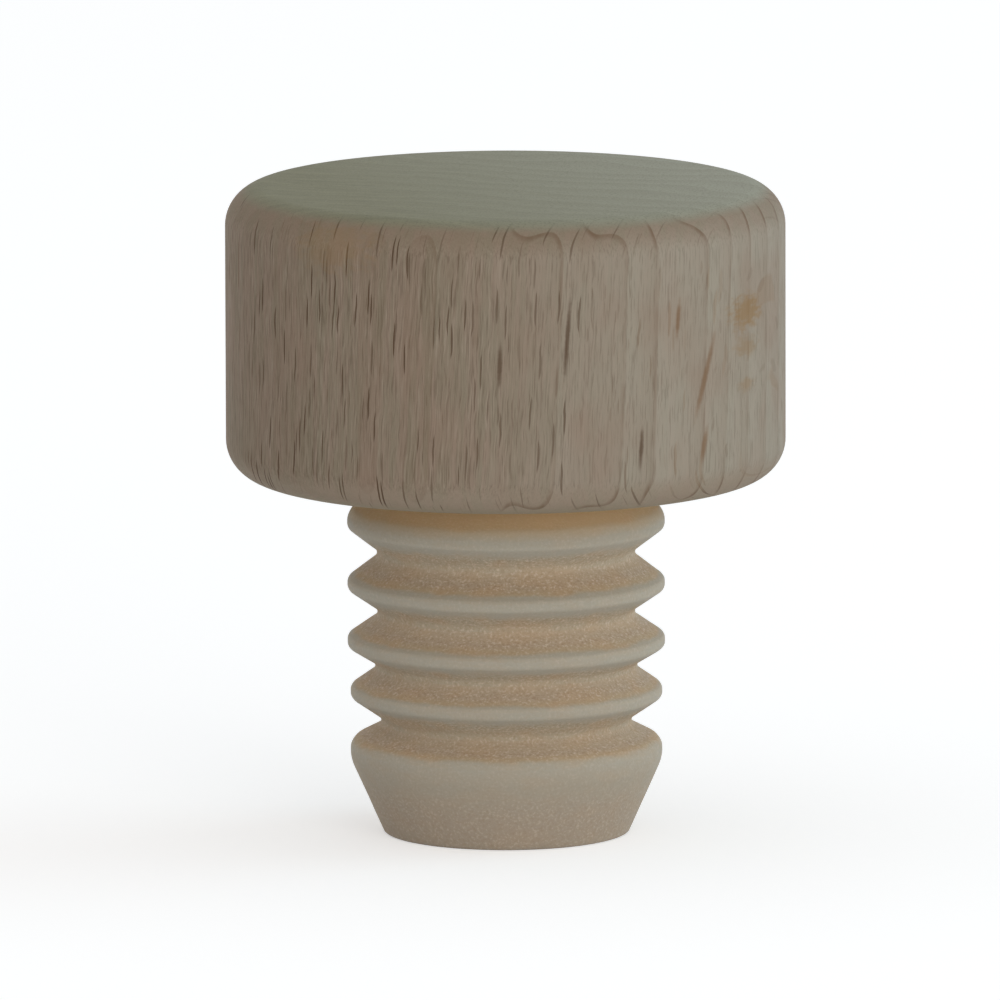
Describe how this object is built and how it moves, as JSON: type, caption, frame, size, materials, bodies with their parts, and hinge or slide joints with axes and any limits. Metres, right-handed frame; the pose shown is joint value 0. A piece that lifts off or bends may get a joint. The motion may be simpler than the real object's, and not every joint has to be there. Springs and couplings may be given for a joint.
{
  "type": "bottle stopper",
  "caption": "Bar-top bottle stopper: a plain turned beech head with rounded edges on a moulded, ribbed shank that presses into the bottle's mouth.",
  "frame": {"origin": "centre of the shank's flat end, on which the stopper stands", "axes": "+Z along the axis of the stopper, from the shank's end to the top of the head"},
  "size_m": [0.0342, 0.0342, 0.04],
  "materials": {
    "beech": "satin",
    "elastomer": "matte"
  },
  "bodies": {
    "root": {"wooden_head": "beech", "ribbed_shank": "elastomer"}
  },
  "joints": []
}
